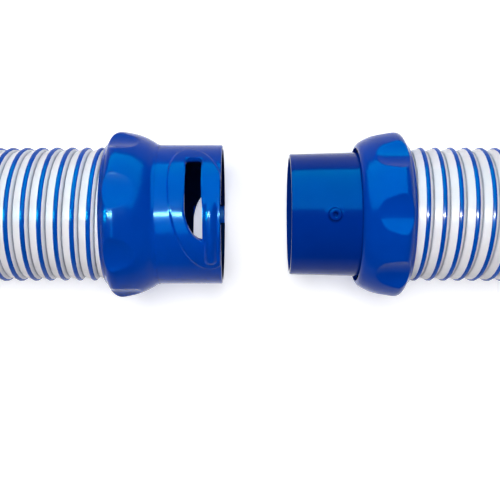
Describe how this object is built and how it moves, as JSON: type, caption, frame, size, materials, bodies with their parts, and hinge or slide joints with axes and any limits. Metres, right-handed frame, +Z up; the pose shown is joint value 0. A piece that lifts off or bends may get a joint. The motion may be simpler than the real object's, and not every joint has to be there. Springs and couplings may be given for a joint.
{
  "type": "pool vacuum hose",
  "caption": "Ribbed pool vacuum hose laid in a flat loop, with a twist-lock socket cuff at one end and a pinned spigot cuff at the other, each behind a dimpled grip collar.",
  "frame": {"origin": "on the floor under the cuffs' common axis, midway between the backs of the two collars", "axes": "+X along the cuffs' axis from the socket to the spigot, +Y towards the loop of hose, +Z up"},
  "size_m": [0.7117, 0.5258, 0.0616],
  "materials": {
    "hose_wall": "glossy white-grey ribbed wall with a blue helical bead",
    "hose_bead": "glossy blue bead on the crest of the hose wall",
    "cuff_blue": "glossy moulded plastic",
    "ferrule_white": "plain moulded plastic",
    "seal_black": "matt moulded rubber"
  },
  "bodies": {
    "root": {"hose_tube": "hose_wall", "female_socket": "cuff_blue", "female_collar": "cuff_blue", "female_ferrule": "ferrule_white", "female_gasket": "seal_black", "seat_seal": "seal_black"},
    "male_end": {"male_ferrule": "ferrule_white"},
    "male_cuff": {"male_spigot": "cuff_blue", "male_collar": "cuff_blue", "male_gasket": "seal_black", "male_slip_ring": "ferrule_white"}
  },
  "joints": [
    {"name": "cuff_push", "type": "slide", "parent": "root", "child": "male_end", "axis": [-1, 0, 0], "range_m": [0, 0.049]},
    {"name": "cuff_twist", "type": "hinge", "parent": "male_end", "child": "male_cuff", "pos_m": [0, 0, 0.0308], "axis": [1, 0, 0], "range_deg": [-44, 0]}
  ]
}
